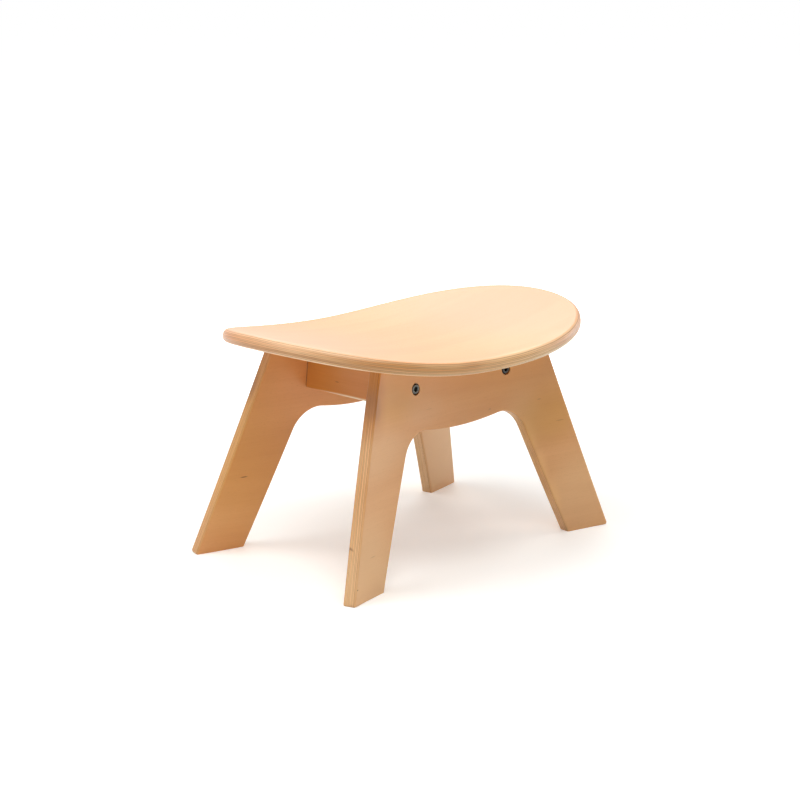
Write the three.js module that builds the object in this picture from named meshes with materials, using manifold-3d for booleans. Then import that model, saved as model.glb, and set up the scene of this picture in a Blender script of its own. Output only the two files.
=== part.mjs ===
// Low stool in moulded beech plywood.
//
// A curved oval seat rests on two arched side panels. The panels are bent outwards at their
// legs and lean together at the top. Two solid beech rails cross between them under the seat.
// Each rail end is held by a socket head bolt that runs into a barrel nut, with two wooden
// dowels beside it, and the seat is screwed on through the rails from below.
//
// Millimetres, +Z up, X along the seat. The origin is on the floor under the middle of the seat.

import * as THREE from 'three';
import { mergeVertices } from 'three/addons/utils/BufferGeometryUtils.js';
import Module from 'manifold-3d';

const wasm = await Module();
wasm.setup();

const degree = Math.PI / 180;

// Fits between pieces
const clearance = 0.3;
const cutOverrun = 4;

// Seat
const seatLength = 426;
const seatWidth = 279;
const seatThickness = 13.7;
const seatBendRadius = 778;
const seatUndersideHeight = 208;
const seatEdgeRadius = 5.7;
const seatEndFullness = 3;
const seatSideFullness = 2;

// Side panels
const panelThickness = 13.5;
const panelBendRadius = 745;
const panelSpreadAtFloor = 179.2;
const panelLean = 6.1 * degree;
const panelEdgeRadius = 2;
const legFootReach = 199.7;
const legFootWidth = 55.8;
const legOuterRake = 18.95 * degree;
const legInnerRake = 22.8 * degree;
const toeRadius = 2.5;
const archHeight = 140.2;
const archSagRadius = 370;
const archCornerRadius = 35;

// Cross rails
const railOffset = 68.6;
const railThickness = 25;
const railDepth = 43.5;

// Bolts and barrel nuts
const boltDrop = 22.5;
const boltDiameter = 6;
const boltLength = 40;
const boltTipChamfer = 0.8;
const boltHeadDiameter = 10;
const boltHeadHeight = 6;
const boltHeadChamfer = 0.7;
const counterboreDiameter = 12.4;
const counterboreDepth = 5.9;
const socketAcrossFlats = 5;
const socketDepth = 3;
const nutDiameter = 10;
const nutLength = 14;
const nutSetback = 22;
const nutSlotWidth = 1.2;
const nutSlotDepth = 1.5;

// Dowels
const dowelDiameter = 6;
const dowelLength = 24;
const dowelDepthInPanel = 8;
const dowelOffset = 11.5;
const dowelChamfer = 0.8;

// Seat screws
const screwDiameter = 4;
const screwLength = 31;
const screwHeadDiameter = 8;
const screwHeadHeight = 2.6;
const screwHeadCrown = 0.9;
const screwDepthInSeat = 9.5;
const screwPointLength = 4;
const screwSpacing = 44;
const driveSlotLength = 4.4;
const driveSlotWidth = 1;
const driveSlotDepth = 1.6;

// Smoothness
const facetPitch = 15;
const seatOutlineSteps = 44;
const arcSteps = 6;
const seatRoundingSteps = 3;
const panelRoundingSteps = 2;
const keepOutSteps = 36;
const turnedSteps = 24;
const slimTurnedSteps = 12;
const hexagonSides = 6;

// The most that an edge can be rounded, as a share of the board's thickness
const fullestRoundingShare = 0.48;

const plywood = new THREE.MeshStandardMaterial({ color: 0xe0b384, roughness: 0.55, metalness: 0 });
const solidBeech = new THREE.MeshStandardMaterial({ color: 0xc98f5c, roughness: 0.6, metalness: 0 });
const dowelBeech = new THREE.MeshStandardMaterial({ color: 0xd9b081, roughness: 0.7, metalness: 0 });
const zincSteel = new THREE.MeshStandardMaterial({ color: 0x6d6f70, roughness: 0.4, metalness: 0.9 });

// Heights that the seat sets for the pieces under it

const seatUndersideRadius = seatBendRadius + seatThickness / 2;

function seatUnderside(x) {
  const fall = Math.sqrt(seatUndersideRadius ** 2 - x ** 2);
  return seatUndersideHeight + seatUndersideRadius - fall;
}

const railTop = seatUnderside(railOffset);
const boltHeight = railTop - boltDrop;

// Distance from the middle of the stool to a face of a side panel, at a place along it and a
// height. The offset is measured from the middle of the ply, outwards.
function panelFace(x, height, offset) {
  const flare = panelBendRadius - Math.sqrt((panelBendRadius - offset) ** 2 - x ** 2);
  return panelSpreadAtFloor / 2 - height * Math.tan(panelLean) + flare / Math.cos(panelLean);
}

const panelOuterAtBolt = panelFace(railOffset, boltHeight, panelThickness / 2);
const panelInnerAtBolt = panelFace(railOffset, boltHeight, -panelThickness / 2);
const boltSeat = panelOuterAtBolt - counterboreDepth;
const nutPlace = panelInnerAtBolt - nutSetback;
const screwTip = railTop + screwDepthInSeat;
const screwSeat = screwTip - screwLength;
const dowelHeights = [boltHeight - dowelOffset, boltHeight + dowelOffset];

function dowelMiddle(height) {
  const inPanel = panelFace(railOffset, height, -panelThickness / 2) + dowelDepthInPanel;
  return inPanel - dowelLength / 2;
}

// Solids and meshes

function toSolid(geometry) {
  const bare = geometry.clone();
  bare.deleteAttribute('normal');
  bare.deleteAttribute('uv');
  const welded = mergeVertices(bare);
  return new wasm.Manifold(new wasm.Mesh({
    numProp: 3,
    vertProperties: new Float32Array(welded.attributes.position.array),
    triVerts: new Uint32Array(welded.index.array),
  }));
}

function toGeometry(solid) {
  const mesh = solid.getMesh();
  const geometry = new THREE.BufferGeometry();
  geometry.setAttribute('position', new THREE.BufferAttribute(mesh.vertProperties, mesh.numProp));
  geometry.setIndex(new THREE.BufferAttribute(mesh.triVerts, 1));
  geometry.computeVertexNormals();
  return geometry;
}

// Cuts tools out of a blank. The tools are given in the stool's frame, and placement is where
// the blank stands in it.
function carve(blank, placement, tools) {
  const toBlank = placement.clone().invert();
  let solid = toSolid(blank);
  for (const tool of tools) {
    solid = solid.subtract(toSolid(tool.clone().applyMatrix4(toBlank)));
  }
  return toGeometry(solid);
}

function placeOf(position, rotation = new THREE.Euler()) {
  const turn = new THREE.Quaternion().setFromEuler(rotation);
  return new THREE.Matrix4().compose(position, turn, new THREE.Vector3(1, 1, 1));
}

function addPiece(parent, name, geometry, material, placement = new THREE.Matrix4()) {
  const mesh = new THREE.Mesh(geometry, material);
  mesh.name = name;
  placement.decompose(mesh.position, mesh.quaternion, mesh.scale);
  parent.add(mesh);
}

// Moulded boards

// Lays a flat point on the bend. A board curls up at its ends where the radius is positive and
// down where it is negative, and height is measured from the middle of the ply.
function bend(point, height, radius) {
  const angle = point.x / radius;
  const reach = radius - height;
  return [reach * Math.sin(angle), point.y, radius - reach * Math.cos(angle)];
}

// Draws an outline in by a distance, along the bisector at each of its points.
function drawIn(outline, distance) {
  return outline.map((point, i) => {
    const before = outline[(i + outline.length - 1) % outline.length];
    const after = outline[(i + 1) % outline.length];
    const arriving = point.clone().sub(before).normalize();
    const leaving = after.clone().sub(point).normalize();
    const inward = new THREE.Vector2(-arriving.y - leaving.y, arriving.x + leaving.x).normalize();
    const spread = Math.max(-arriving.y * inward.x + arriving.x * inward.y, Math.SQRT1_2);
    return point.clone().addScaledVector(inward, distance / spread);
  });
}

// A board with rounded edges. The outline starts at the right end and runs anticlockwise, and
// its points i and length - i lie straight across the board from each other, so that the faces
// are strips along the straight lines of the bend.
function bentBoard(outline, thickness, edgeRadius, roundingSteps, bendRadius) {
  const rounding = Math.min(edgeRadius, thickness * fullestRoundingShare);
  const layers = [];
  for (let step = 0; step <= roundingSteps; step += 1) {
    const angle = (step / roundingSteps) * Math.PI / 2;
    const inset = rounding * (1 - Math.sin(angle));
    const height = thickness / 2 - rounding * (1 - Math.cos(angle));
    layers.push({ inset, height });
  }
  const lowerLayers = layers.map(({ inset, height }) => ({ inset, height: -height }));
  const rings = [...lowerLayers, ...layers.reverse()];

  const count = outline.length;
  const positions = [];
  for (const { inset, height } of rings) {
    for (const point of drawIn(outline, inset)) {
      positions.push(...bend(point, height, bendRadius));
    }
  }

  const triangles = [];
  for (let ring = 0; ring + 1 < rings.length; ring += 1) {
    for (let i = 0; i < count; i += 1) {
      const next = (i + 1) % count;
      const low = ring * count;
      const high = low + count;
      triangles.push(low + i, low + next, high + next, low + i, high + next, high + i);
    }
  }
  const top = (rings.length - 1) * count;
  for (let i = 0; i < count / 2; i += 1) {
    const across = (count - i) % count;
    const nextAcross = count - i - 1;
    if (across !== i) {
      triangles.push(i, across, i + 1);
      triangles.push(top + i, top + i + 1, top + across);
    }
    if (nextAcross !== i + 1) {
      triangles.push(i + 1, across, nextAcross);
      triangles.push(top + i + 1, top + nextAcross, top + across);
    }
  }

  const geometry = new THREE.BufferGeometry();
  geometry.setAttribute('position', new THREE.Float32BufferAttribute(positions, 3));
  geometry.setIndex(triangles);
  geometry.computeVertexNormals();
  return geometry;
}

// The space from a board's bulging face to its hollow side, one clearance larger. It keeps the
// pieces that meet that face off the board.
function keepOut(thickness, bendRadius, length, width) {
  const radius = Math.abs(bendRadius) + thickness / 2 + clearance;
  const halfAngle = Math.asin(length / 2 / radius);
  const lowest = 1.5 * Math.PI;
  const back = width / 2 - radius * Math.cos(halfAngle);
  const segment = new THREE.Shape();
  segment.absarc(0, 0, radius, lowest - halfAngle, lowest + halfAngle, false);
  segment.lineTo(length / 2, back);
  segment.lineTo(-length / 2, back);
  const geometry = new THREE.ExtrudeGeometry(segment, {
    depth: width, bevelEnabled: false, curveSegments: keepOutSteps,
  });
  geometry.translate(0, 0, -width / 2);
  geometry.rotateX(Math.PI / 2);
  geometry.translate(0, 0, Math.abs(bendRadius));
  if (bendRadius < 0) {
    geometry.rotateX(Math.PI);
  }
  return geometry;
}

// Round tools and turned pieces, all with their axis along Y

function turned(profile, steps) {
  const points = profile.map(([radius, along]) => new THREE.Vector2(radius, along));
  return new THREE.LatheGeometry(points, steps);
}

function hole(diameter, start, end, steps = turnedSteps) {
  const geometry = new THREE.CylinderGeometry(diameter / 2, diameter / 2, end - start, steps);
  return geometry.translate(0, (start + end) / 2, 0);
}

// Seat

function seatOutline() {
  const outline = [];
  for (let step = 0; step < 2 * seatOutlineSteps; step += 1) {
    const angle = (step / seatOutlineSteps) * Math.PI;
    const lengthShare = Math.cos(angle);
    const widthShare = (1 - Math.abs(lengthShare) ** seatEndFullness) ** (1 / seatSideFullness);
    const side = Math.sign(Math.sin(angle));
    outline.push(new THREE.Vector2(lengthShare * seatLength / 2, side * widthShare * seatWidth / 2));
  }
  return outline;
}

const seatPlace = placeOf(new THREE.Vector3(0, 0, seatUndersideHeight + seatThickness / 2));

// Side panel outline, drawn flat: along the panel from its middle, and up its straight lines from
// the floor. Its right half is described, and its left half mirrors it.

const footFlare = panelBendRadius * (1 - Math.cos(legFootReach / panelBendRadius));
const footLevel = -(footFlare + panelThickness / 2) * Math.tan(panelLean);
const footInner = legFootReach - legFootWidth;
const footInnerCorner = footInner - footLevel * Math.tan(legInnerRake);

function outerEdgeReach(height) {
  return legFootReach - height * Math.tan(legOuterRake);
}

const topEdgeHeight = seatUnderside(legFootReach);
const topCorner = outerEdgeReach(topEdgeHeight);

const toeHeight = footLevel + toeRadius;
const toe = new THREE.Vector2(
  outerEdgeReach(toeHeight) - toeRadius / Math.cos(legOuterRake),
  toeHeight,
);

// The circle that rounds the corner of the arch touches the leg's inner edge and the sagging
// middle of the arch.
const archCorner = findArchCorner();
const legEdgeEnd = archCorner.x + archCornerRadius * Math.cos(legInnerRake);
const sagEnd = archCorner.x * archSagRadius / (archSagRadius + archCornerRadius);

function findArchCorner() {
  const sagCentre = new THREE.Vector2(0, archHeight + archSagRadius);
  const upLeg = new THREE.Vector2(-Math.sin(legInnerRake), Math.cos(legInnerRake));
  const intoArch = new THREE.Vector2(-Math.cos(legInnerRake), -Math.sin(legInnerRake));
  const start = new THREE.Vector2(footInner, 0).addScaledVector(intoArch, archCornerRadius);
  const fromSag = start.clone().sub(sagCentre);
  const nearest = -fromSag.dot(upLeg);
  const offLine = fromSag.lengthSq() - nearest ** 2;
  const apart = archSagRadius + archCornerRadius;
  return start.addScaledVector(upLeg, nearest - Math.sqrt(apart ** 2 - offLine));
}

function circleRise(radius, offset) {
  return Math.sqrt(Math.max(radius ** 2 - offset ** 2, 0));
}

function upperEdge(along) {
  if (along <= topCorner) {
    return topEdgeHeight;
  }
  if (along <= toe.x + toeRadius * Math.cos(legOuterRake)) {
    return (legFootReach - along) / Math.tan(legOuterRake);
  }
  return toe.y + circleRise(toeRadius, along - toe.x);
}

function lowerEdge(along) {
  if (along <= sagEnd) {
    return archHeight + archSagRadius - circleRise(archSagRadius, along);
  }
  if (along <= legEdgeEnd) {
    return archCorner.y + circleRise(archCornerRadius, along - archCorner.x);
  }
  if (along <= footInnerCorner) {
    return (footInner - along) / Math.tan(legInnerRake);
  }
  return toe.y - circleRise(toeRadius, Math.max(along - toe.x, 0));
}

// Places along the right half of a panel where its outline turns, with more between them
// where they lie far apart.
function panelStations() {
  const marks = [0, sagEnd, legEdgeEnd, topCorner, footInnerCorner, toe.x + toeRadius];
  const sagEndAngle = Math.acos((sagEnd - archCorner.x) / archCornerRadius);
  for (let step = 1; step < arcSteps; step += 1) {
    const cornerAngle = THREE.MathUtils.lerp(legInnerRake, sagEndAngle, step / arcSteps);
    marks.push(archCorner.x + archCornerRadius * Math.cos(cornerAngle));
    marks.push(toe.x + toeRadius * Math.cos((step / arcSteps) * Math.PI / 2));
  }
  marks.sort((a, b) => a - b);
  const stations = [marks[0]];
  for (const mark of marks.slice(1)) {
    const start = stations[stations.length - 1];
    const steps = Math.ceil((mark - start) / facetPitch);
    for (let step = 1; step <= steps; step += 1) {
      stations.push(THREE.MathUtils.lerp(start, mark, step / steps));
    }
  }
  return stations;
}

function panelOutline() {
  const right = panelStations().reverse();
  const left = right.slice(0, -1).map((along) => -along).reverse();
  const stations = [...right, ...left];
  const upper = stations.map((along) => new THREE.Vector2(along, upperEdge(Math.abs(along))));
  const inner = stations.slice(1, -1).reverse();
  const lower = inner.map((along) => new THREE.Vector2(along, lowerEdge(Math.abs(along))));
  return [...upper, ...lower];
}

const railPlace = placeOf(new THREE.Vector3(railOffset, 0, railTop - railDepth / 2));

const panelPlace = placeOf(
  new THREE.Vector3(0, panelSpreadAtFloor / 2, 0),
  new THREE.Euler(Math.PI / 2 + panelLean, 0, 0),
);

// Tools that cut the pieces, in the stool's frame. Those for the joint between a rail and a side
// panel are at the back panel, and half a turn brings them to the front one.

function floorTool() {
  const size = seatLength + seatWidth;
  return new THREE.BoxGeometry(size, size, size).translate(0, 0, -size / 2);
}

function seatKeepOut() {
  return keepOut(seatThickness, seatBendRadius, seatLength, seatWidth).applyMatrix4(seatPlace);
}

function panelKeepOut() {
  const length = 2 * legFootReach;
  const height = 2 * (seatUndersideHeight + seatThickness);
  return keepOut(panelThickness, -panelBendRadius, length, height).applyMatrix4(panelPlace);
}

function boltTools(x) {
  const tip = boltSeat - boltLength - clearance;
  const shank = hole(boltDiameter + 2 * clearance, tip, panelOuterAtBolt);
  const head = hole(counterboreDiameter, boltSeat - clearance, panelOuterAtBolt + cutOverrun);
  return [shank, head].map((tool) => tool.translate(x, 0, boltHeight));
}

function dowelTools(x) {
  const reach = dowelLength / 2 + clearance;
  return dowelHeights.map((height) => {
    const tool = hole(dowelDiameter + 2 * clearance, -reach, reach, slimTurnedSteps);
    return tool.translate(x, dowelMiddle(height), height);
  });
}

// The nut's bore opens on the side of the rail that faces the middle of the stool.
function nutTool(place) {
  const blindEnd = -nutLength / 2 - clearance;
  const tool = hole(nutDiameter + 2 * clearance, blindEnd, railThickness / 2 + cutOverrun);
  return tool.rotateZ(Math.PI / 2).translate(railOffset, place, boltHeight);
}

function screwTools(place) {
  const shank = hole(
    screwDiameter + 2 * clearance, screwSeat, screwTip + clearance, slimTurnedSteps,
  );
  const head = hole(
    screwHeadDiameter + 2 * clearance,
    railTop - railDepth - cutOverrun,
    screwSeat + clearance,
    slimTurnedSteps,
  );
  return [shank, head].map((tool) => tool.rotateX(Math.PI / 2).translate(railOffset, place, 0));
}

function halfTurn(tool) {
  return tool.clone().rotateZ(Math.PI);
}

// Geometry of the pieces

function seatGeometry() {
  const blank = bentBoard(
    seatOutline(), seatThickness, seatEdgeRadius, seatRoundingSteps, seatBendRadius,
  );
  const screwHoles = [-screwSpacing / 2, screwSpacing / 2].map((place) => screwTools(place)[0]);
  return carve(blank, seatPlace, [...screwHoles, ...screwHoles.map(halfTurn)]);
}

function panelGeometry() {
  const blank = bentBoard(
    panelOutline(), panelThickness, panelEdgeRadius, panelRoundingSteps, -panelBendRadius,
  );
  const tools = [floorTool(), seatKeepOut()];
  for (const x of [-railOffset, railOffset]) {
    tools.push(...boltTools(x), ...dowelTools(x));
  }
  return carve(blank, panelPlace, tools);
}

function railGeometry() {
  const blank = new THREE.BoxGeometry(railThickness, panelSpreadAtFloor, railDepth + railThickness);
  blank.translate(0, 0, railThickness / 2);
  const backEnd = [panelKeepOut(), ...boltTools(railOffset), ...dowelTools(railOffset)];
  const frontEnd = [panelKeepOut(), ...boltTools(-railOffset), ...dowelTools(-railOffset)];
  return carve(blank, railPlace, [
    seatKeepOut(),
    ...backEnd,
    ...frontEnd.map(halfTurn),
    nutTool(nutPlace),
    nutTool(-nutPlace),
    ...screwTools(screwSpacing / 2),
    ...screwTools(-screwSpacing / 2),
  ]);
}

// The bolt's head bears on the panel at zero and its shank runs down from there.
function boltGeometry() {
  const shankRadius = boltDiameter / 2;
  const headRadius = boltHeadDiameter / 2;
  const blank = turned([
    [0, -boltLength],
    [shankRadius - boltTipChamfer, -boltLength],
    [shankRadius, boltTipChamfer - boltLength],
    [shankRadius, 0],
    [headRadius, 0],
    [headRadius, boltHeadHeight - boltHeadChamfer],
    [headRadius - boltHeadChamfer, boltHeadHeight],
    [0, boltHeadHeight],
  ], turnedSteps);
  const socketAcrossCorners = 2 * socketAcrossFlats / Math.sqrt(3);
  const socketBottom = boltHeadHeight - socketDepth;
  const socket = hole(
    socketAcrossCorners, socketBottom, boltHeadHeight + cutOverrun, hexagonSides,
  );
  return carve(blank, new THREE.Matrix4(), [socket]);
}

// A barrel nut lying along X, with its slotted end towards the middle of the stool.
function nutGeometry() {
  const half = nutLength / 2;
  const blank = hole(nutDiameter, -half, half);
  const bore = hole(boltDiameter + 2 * clearance, -nutDiameter, nutDiameter, slimTurnedSteps);
  bore.rotateZ(Math.PI / 2);
  const slot = new THREE.BoxGeometry(nutDiameter + cutOverrun, 2 * nutSlotDepth, nutSlotWidth);
  slot.translate(0, half, 0);
  return carve(blank, new THREE.Matrix4(), [bore, slot]).rotateZ(Math.PI / 2);
}

function dowelGeometry() {
  const half = dowelLength / 2;
  const radius = dowelDiameter / 2;
  return turned([
    [0, -half],
    [radius - dowelChamfer, -half],
    [radius, dowelChamfer - half],
    [radius, half - dowelChamfer],
    [radius - dowelChamfer, half],
    [0, half],
  ], slimTurnedSteps);
}

// A round-headed screw standing on its head, which bears upwards at zero.
function screwGeometry() {
  const shankRadius = screwDiameter / 2;
  const headRadius = screwHeadDiameter / 2;
  const blank = turned([
    [0, -screwHeadHeight],
    [headRadius - screwHeadCrown, -screwHeadHeight],
    [headRadius, screwHeadCrown - screwHeadHeight],
    [headRadius, 0],
    [shankRadius, 0],
    [shankRadius, screwLength - screwPointLength],
    [0, screwLength],
  ], slimTurnedSteps);
  const slot = new THREE.BoxGeometry(driveSlotLength, 2 * driveSlotDepth, driveSlotWidth);
  slot.translate(0, -screwHeadHeight, 0);
  const crossSlot = slot.clone().rotateY(Math.PI / 2);
  return carve(blank, new THREE.Matrix4(), [slot, crossSlot]).rotateX(Math.PI / 2);
}

// The stool

const seat = seatGeometry();
const panel = panelGeometry();
const rail = railGeometry();
const bolt = boltGeometry();
const nut = nutGeometry();
const dowel = dowelGeometry();
const screw = screwGeometry();

const stool = new THREE.Group();
addPiece(stool, 'seat', seat, plywood, seatPlace);

// Each half has one side panel and one rail, and the second is the first turned half round.
const halves = [
  { turn: 0, side: 'back', other: 'front', end: 'right' },
  { turn: Math.PI, side: 'front', other: 'back', end: 'left' },
];
for (const { turn, side, other, end } of halves) {
  const half = new THREE.Group();
  half.rotation.z = turn;
  stool.add(half);
  addPiece(half, `side_panel_${side}`, panel, plywood, panelPlace);
  addPiece(half, `cross_rail_${end}`, rail, solidBeech, railPlace);
  for (const [name, direction] of [[side, 1], [other, -1]]) {
    const place = (along, height) => new THREE.Vector3(railOffset, direction * along, height);
    const facing = new THREE.Euler(0, 0, direction > 0 ? 0 : Math.PI);
    const joint = `${end}_${name}`;
    addPiece(half, `bolt_${joint}`, bolt, zincSteel, placeOf(place(boltSeat, boltHeight), facing));
    addPiece(half, `barrel_nut_${joint}`, nut, zincSteel, placeOf(place(nutPlace, boltHeight)));
    addPiece(half, `seat_screw_${joint}`, screw, zincSteel, placeOf(place(screwSpacing / 2, screwSeat)));
    for (const [level, height] of [['lower', dowelHeights[0]], ['upper', dowelHeights[1]]]) {
      const middle = place(dowelMiddle(height), height);
      addPiece(half, `dowel_${joint}_${level}`, dowel, dowelBeech, placeOf(middle));
    }
  }
}

export default stool;
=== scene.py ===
"""Low stool in moulded beech plywood, dressed and lit for a picture.

An oval seat, curved up at its ends, lies on two bent, arched side panels that lean together.
Two solid rails cross between them. Bolts, barrel nuts, dowels and screws hold it all.

Metres, +Z up, X along the seat, and the floor at zero under the middle of the seat.
"""

from math import asin, atan2, ceil, copysign, cos, hypot, pi, radians, sin, sqrt, tan

import bmesh
import bpy
from bpy.props import FloatProperty, FloatVectorProperty, PointerProperty
from mathutils import Matrix, Vector


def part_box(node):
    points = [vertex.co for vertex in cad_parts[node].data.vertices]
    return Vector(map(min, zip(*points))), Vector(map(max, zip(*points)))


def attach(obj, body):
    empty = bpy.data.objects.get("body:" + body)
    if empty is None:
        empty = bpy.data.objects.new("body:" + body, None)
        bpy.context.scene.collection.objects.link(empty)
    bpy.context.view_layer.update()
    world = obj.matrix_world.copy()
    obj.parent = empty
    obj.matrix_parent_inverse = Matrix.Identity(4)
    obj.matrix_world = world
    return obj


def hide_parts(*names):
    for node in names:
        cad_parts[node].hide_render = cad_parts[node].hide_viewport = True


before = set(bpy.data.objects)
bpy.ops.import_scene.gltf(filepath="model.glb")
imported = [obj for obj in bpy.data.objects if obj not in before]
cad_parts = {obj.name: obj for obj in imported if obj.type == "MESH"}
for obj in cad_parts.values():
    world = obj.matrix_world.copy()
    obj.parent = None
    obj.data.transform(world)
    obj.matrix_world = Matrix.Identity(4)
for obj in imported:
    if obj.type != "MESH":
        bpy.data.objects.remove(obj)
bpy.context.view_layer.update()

bl_info = {
    "name": "Moulded plywood stool",
    "version": (1, 0, 0),
    "blender": (4, 5, 0),
    "location": "3D View > Sidebar > Stool",
    "description": "Dresses the stool's frame with plywood boards, rails, bolts and dowels",
    "category": "Object",
}

BODY = "root"

ENDS = {"right": 1, "left": -1}
SIDES = {"back": 1, "front": -1}
JOINTS = {f"{end}_{side}": (x, y) for end, x in ENDS.items() for side, y in SIDES.items()}
LEVELS = ("lower", "upper")
BOARD = "board"
PLIES = 9
STRIP_WIDTH = 0.008
OUTLINE_STEPS = 192
ROUND_STEPS = 48
THREAD_STEPS = 24
THREAD_DEPTH = 0.6
SHARP = radians(40)
MERGE_DISTANCE = 1e-6

# Broad areas of another colour, most of them painted light and painted shade, and small flaws, for
# each
# kind of piece: where each one is, how far it reaches along X, Y and Z, its colour and how strong it
# is
PATCHES = {
    "seat": (
        # Pale and honey areas are painted light from the floor and the lamps on the rim and the left
        # end, rosy areas are painted sheen on the top, and brown areas are painted shade
        ((0.035, -0.138, 0.213), (0.075, 0.012, 0.014), "pale", 0.6),
        ((0.02, -0.138, 0.213), (0.06, 0.012, 0.014), "honey", 0.45),
        ((-0.09, -0.13, 0.215), (0.06, 0.015, 0.012), "honey", 0.2),
        ((0.11, -0.122, 0.219), (0.04, 0.012, 0.014), "pale", 0.2),
        ((-0.2, -0.05, 0.232), (0.05, 0.05, 0.014), "pale", 0.65),
        ((-0.207, -0.015, 0.242), (0.03, 0.05, 0.01), "pale", 0.35),
        ((-0.14, 0.04, 0.235), (0.13, 0.14, 0.03), "rosy", 0.4),
        ((0.15, -0.01, 0.235), (0.11, 0.15, 0.04), "rosy", 0.4),
        ((0.15, -0.01, 0.235), (0.11, 0.15, 0.04), "brown", 0.26),
        ((0.02, -0.11, 0.221), (0.13, 0.03, 0.02), "brown", 0.14),
    ),
    "panel": (
        # Pale and honey areas are painted light, low on the legs, round the arch and on edges that
        # the floor lights; brown and amber areas are painted shade, mostly under the seat
        ((-0.165, -0.11, 0.01), (0.06, 0.03, 0.07), "pale", 0.5),
        ((-0.145, -0.098, 0.085), (0.05, 0.03, 0.045), "pale", 0.12),
        ((-0.155, 0.095, 0.13), (0.08, 0.03, 0.15), "amber", 0.32),
        ((-0.125, 0.088, 0.195), (0.04, 0.02, 0.03), "brown", 0.25),
        ((-0.135, -0.095, 0.135), (0.06, 0.03, 0.025), "pale", 0.25),
        ((0.165, -0.11, 0.03), (0.06, 0.03, 0.07), "pale", 0.3),
        ((0.15, 0.094, 0.06), (0.08, 0.04, 0.11), "pale", 0.7),
        ((0.118, 0.104, 0.05), (0.02, 0.012, 0.05), "brown", 0.3),
        ((0.105, -0.078, 0.115), (0.05, 0.012, 0.06), "pale", 0.6),
        ((0.094, -0.09, 0.105), (0.013, 0.02, 0.028), "honey", 0.5),
        ((0.108, -0.093, 0.07), (0.013, 0.02, 0.028), "honey", 0.5),
        ((0.123, -0.099, 0.035), (0.013, 0.02, 0.028), "honey", 0.4),
        ((0.12, -0.095, 0.128), (0.05, 0.02, 0.03), "brown", 0.4),
        ((0.12, -0.095, 0.14), (0.06, 0.02, 0.04), "amber", 0.25),
        ((-0.105, -0.084, 0.187), (0.045, 0.02, 0.032), "amber", 0.5),
        ((-0.06, -0.082, 0.168), (0.035, 0.02, 0.022), "pale", 0.15),
        ((0, -0.085, 0.2), (0.19, 0.03, 0.035), "brown", 0.4),
        ((0.04, -0.085, 0.17), (0.08, 0.03, 0.03), "brown", 0.2),
        # Painted shade in the corners where the left rail meets the panels
        ((-0.14, -0.085, 0.205), (0.022, 0.03, 0.055), "rail_dark", 0.8),
        ((-0.137, -0.083, 0.184), (0.01, 0.03, 0.018), "glue", 0.5),
        ((-0.136, 0.09, 0.19), (0.016, 0.01, 0.045), "brown", 0.8),
        ((-0.138, 0.09, 0.182), (0.014, 0.01, 0.024), "glue", 0.7),
        # Small dark flaws of the wood
        ((-0.1503, 0.0896, 0.079), (0.0045, 0.008, 0.0006), "flaw", 0.9),
        ((-0.1817, -0.1022, 0.0519), (0.0007, 0.008, 0.0022), "flaw", 0.6),
        ((-0.1887, -0.1194, 0.0156), (0.0012, 0.008, 0.0008), "flaw", 0.6),
        ((-0.158, -0.1093, 0.04), (0.0055, 0.008, 0.0004), "flaw", 0.3),
        ((0.1127, -0.089, 0.1504), (0.003, 0.008, 0.0005), "flaw", 0.4),
        ((0.1399, -0.0966, 0.1239), (0.006, 0.008, 0.0005), "flaw", 0.35),
        ((0.042, -0.0816, 0.15), (0.0014, 0.008, 0.0007), "flaw", 0.4),
        ((-0.0501, -0.0804, 0.1653), (0.0055, 0.008, 0.0004), "flaw", 0.2),
    ),
    "rail": (
        # Painted highlight along the lower edge of the left rail's outer side
        ((-0.0811, -0.02, 0.1678), (0.003, 0.065, 0.0024), "painted_highlight", 0.9),
        ((-0.0811, 0.0214, 0.1814), (0.008, 0.003, 0.0006), "flaw", 0.6),
    ),
    "bolt": (
        # Painted shade on the front right bolt, under the seat
        ((0.0686, -0.085, 0.1855), (0.02, 0.02, 0.02), "painted_shade", 0.7),
    ),
}

# Streaks in single plies, which are placed along the bend, across it and up from the middle ply. On
# the seat's rim the pale and brightest streaks are painted light, most of it from the floor on the
# lower plies, and the fleck and brown streaks darken single plies
STREAKS = {
    "seat": (
        ((0.06, -0.12, 0.0058), (0.12, 0.08, 0.0009), "pale", 0.6),
        ((-0.19, -0.04, 0.0048), (0.06, 0.12, 0.0014), "pale", 0.4),
        ((0.13, -0.12, 0.002), (0.022, 0.025, 0.0035), "fleck", 0.55),
        ((0.075, -0.13, -0.005), (0.085, 0.07, 0.0026), "painted_highlight", 0.6),
        ((0.1, -0.13, -0.003), (0.025, 0.03, 0.0022), "painted_highlight", 0.3),
        ((0.05, -0.132, -0.0002), (0.06, 0.05, 0.0008), "pale", 0.5),
        ((0.02, -0.135, -0.0014), (0.05, 0.04, 0.0005), "fleck", 0.5),
        ((0.02, -0.135, 0.0022), (0.05, 0.04, 0.0014), "brown", 0.25),
        ((-0.07, -0.13, -0.0055), (0.1, 0.05, 0.002), "painted_highlight", 0.25),
        ((-0.09, -0.132, 0.0035), (0.04, 0.03, 0.002), "pale", 0.35),
        ((-0.19, -0.04, -0.0031), (0.06, 0.1, 0.0016), "fleck", 0.7),
        ((-0.185, -0.06, -0.0064), (0.07, 0.1, 0.0008), "painted_highlight", 0.3),
        ((-0.21, 0.02, -0.0045), (0.02, 0.05, 0.0018), "fleck", 0.4),
    ),
}

# How pale, above a half, or brown, below a half, each ply of a board is, from the bottom up or
# from the inside out
PLY_TONES = {
    "seat": (0.85, 0.42, 0.66, 0.48, 0.44, 0.52, 0.38, 0.54, 0.5),
    "panel": (0.5, 0.56, 0.44, 0.6, 0.46, 0.42, 0.58, 0.44, 0.5),
}

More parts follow.
